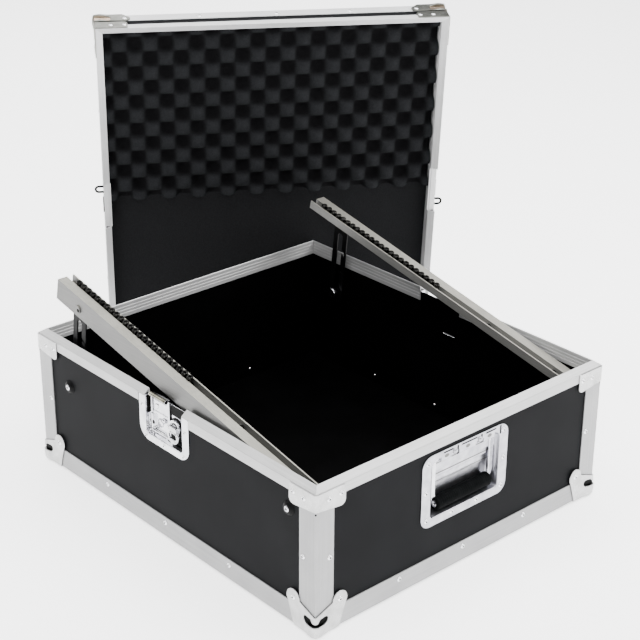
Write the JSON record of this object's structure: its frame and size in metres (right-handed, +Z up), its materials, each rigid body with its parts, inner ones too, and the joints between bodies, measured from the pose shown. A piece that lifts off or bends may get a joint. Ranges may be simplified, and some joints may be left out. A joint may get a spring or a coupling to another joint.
{
  "type": "rackmount mixer flight case",
  "caption": "Low open flight case with aluminium edges, ball corners, butterfly latches, a recessed handle and tilting rack rails, its foam-lined lid leaning behind it.",
  "frame": {"origin": "centre of the bay floor, the bottom board's upper face", "axes": "+X towards the right wall, +Y towards the rear wall, +Z up; the handle is on the front wall at -Y"},
  "size_m": [0.7264, 0.8348, 0.608],
  "materials": {
    "laminate": "charcoal laminate with a fine stipple over plywood",
    "extrusion": "satin mill aluminium",
    "pressed_steel": "bright zinc plate",
    "rail_steel": "pale grey satin",
    "black_steel": "satin black",
    "rubber": "matt black ribbed rubber",
    "foam": "black open-cell foam"
  },
  "bodies": {
    "base": {"bottom_panel": "laminate", "front_panel": "laminate", "rear_panel": "laminate", "left_panel": "laminate", "right_panel": "laminate", "rim_front": "extrusion", "rim_rear": "extrusion", "rim_left_front": "extrusion", "rim_left_rear": "extrusion", "rim_right_front": "extrusion", "rim_right_rear": "extrusion", "bottom_angle_front": "extrusion", "bottom_angle_rear": "extrusion", "bottom_angle_left": "extrusion", "bottom_angle_right": "extrusion", "corner_angle_front_left": "extrusion", "corner_angle_front_right": "extrusion", "corner_angle_rear_left": "extrusion", "corner_angle_rear_right": "extrusion", "ball_corner_front_left": "pressed_steel", "ball_corner_front_right": "pressed_steel", "ball_corner_rear_left": "pressed_steel", "ball_corner_rear_right": "pressed_steel", "rim_brace_front_left": "extrusion", "rim_brace_front_right": "extrusion", "rim_brace_rear_left": "extrusion", "rim_brace_rear_right": "extrusion", "handle_dish": "pressed_steel", "latch_dish_left": "pressed_steel", "latch_dish_right": "pressed_steel", "pivot_bolt_left": "pressed_steel", "pivot_bolt_right": "pressed_steel", "clamp_bolt_left": "pressed_steel", "clamp_bolt_right": "pressed_steel"},
    "lid": {"lid_shell": "laminate", "lid_edge_frame": "extrusion", "lid_rim": "extrusion", "lid_ball_corner_lower_left": "pressed_steel", "lid_ball_corner_lower_right": "pressed_steel", "lid_ball_corner_upper_left": "pressed_steel", "lid_ball_corner_upper_right": "pressed_steel", "lid_foam": "foam", "lid_keeper_left": "pressed_steel", "lid_keeper_right": "pressed_steel"},
    "handle": {"handle_bail": "pressed_steel", "handle_grip": "rubber"},
    "rail_left": {"rail_left": "rail_steel", "thread_strip_left": "black_steel"},
    "strut_left": {"strut_left": "black_steel"},
    "clamp_knob_left": {"clamp_knob_left": "pressed_steel"},
    "latch_cam_left": {"latch_cam_left": "pressed_steel"},
    "latch_wing_left": {"latch_wing_left": "pressed_steel"},
    "latch_hook_left": {"latch_hook_left": "pressed_steel"},
    "rail_right": {"rail_right": "rail_steel", "thread_strip_right": "black_steel"},
    "strut_right": {"strut_right": "black_steel"},
    "clamp_knob_right": {"clamp_knob_right": "pressed_steel"},
    "latch_cam_right": {"latch_cam_right": "pressed_steel"},
    "latch_wing_right": {"latch_wing_right": "pressed_steel"},
    "latch_hook_right": {"latch_hook_right": "pressed_steel"}
  },
  "joints": [
    {"name": "lid_lift", "type": "slide", "parent": "base", "child": "lid", "axis": [0, 0, 1], "range_m": [0, 0.4]},
    {"name": "handle_swing", "type": "hinge", "parent": "base", "child": "handle", "pos_m": [0, -0.2907, 0.1619], "axis": [-1, 0, 0], "range_deg": [0, 90], "stiffness_Nm_per_rad": 0.05, "springref_deg": -17.19},
    {"name": "rail_left_tilt", "type": "hinge", "parent": "base", "child": "rail_left", "pos_m": [-0.2495, -0.25, 0.1547], "axis": [1, 0, 0], "range_deg": [-12, 0]},
    {"name": "strut_left_swing", "type": "hinge", "parent": "rail_left", "child": "strut_left", "pos_m": [-0.2472, 0.21379, 0.25737], "axis": [1, 0, 0], "range_deg": [0, 9.5]},
    {"name": "clamp_knob_left_turn", "type": "hinge", "parent": "base", "child": "clamp_knob_left", "pos_m": [-0.2414, 0.22749, 0.1352], "axis": [-1, 0, 0], "range_deg": [0, 360]},
    {"name": "latch_cam_left_turn", "type": "hinge", "parent": "base", "child": "latch_cam_left", "pos_m": [-0.2565, -0.013, 0.1655], "axis": [-1, 0, 0], "range_deg": [0, 180]},
    {"name": "latch_wing_left_fold", "type": "hinge", "parent": "latch_cam_left", "child": "latch_wing_left", "pos_m": [-0.2609, -0.013, 0.1655], "axis": [0, 1, 0], "range_deg": [0, 90]},
    {"name": "latch_hook_left_slide", "type": "slide", "parent": "base", "child": "latch_hook_left", "axis": [0, 0, 1], "range_m": [0, 0.008]},
    {"name": "rail_right_tilt", "type": "hinge", "parent": "base", "child": "rail_right", "pos_m": [0.2495, -0.25, 0.1547], "axis": [1, 0, 0], "range_deg": [-12, 0]},
    {"name": "strut_right_swing", "type": "hinge", "parent": "rail_right", "child": "strut_right", "pos_m": [0.2472, 0.21379, 0.25737], "axis": [1, 0, 0], "range_deg": [0, 9.5]},
    {"name": "clamp_knob_right_turn", "type": "hinge", "parent": "base", "child": "clamp_knob_right", "pos_m": [0.2414, 0.22749, 0.1352], "axis": [1, 0, 0], "range_deg": [0, 360]},
    {"name": "latch_cam_right_turn", "type": "hinge", "parent": "base", "child": "latch_cam_right", "pos_m": [0.2565, 0.019, 0.1655], "axis": [1, 0, 0], "range_deg": [0, 180]},
    {"name": "latch_wing_right_fold", "type": "hinge", "parent": "latch_cam_right", "child": "latch_wing_right", "pos_m": [0.2609, 0.019, 0.1655], "axis": [0, -1, 0], "range_deg": [0, 90]},
    {"name": "latch_hook_right_slide", "type": "slide", "parent": "base", "child": "latch_hook_right", "axis": [0, 0, 1], "range_m": [0, 0.008]}
  ],
  "couplings": [
    {"joint": "strut_left_swing", "follows": "rail_left_tilt", "ratio": -0.75},
    {"joint": "latch_cam_left_turn", "follows": "latch_hook_left_slide", "rad_per_m": 392.69},
    {"joint": "strut_right_swing", "follows": "rail_right_tilt", "ratio": -0.75},
    {"joint": "latch_cam_right_turn", "follows": "latch_hook_right_slide", "rad_per_m": 392.69}
  ]
}
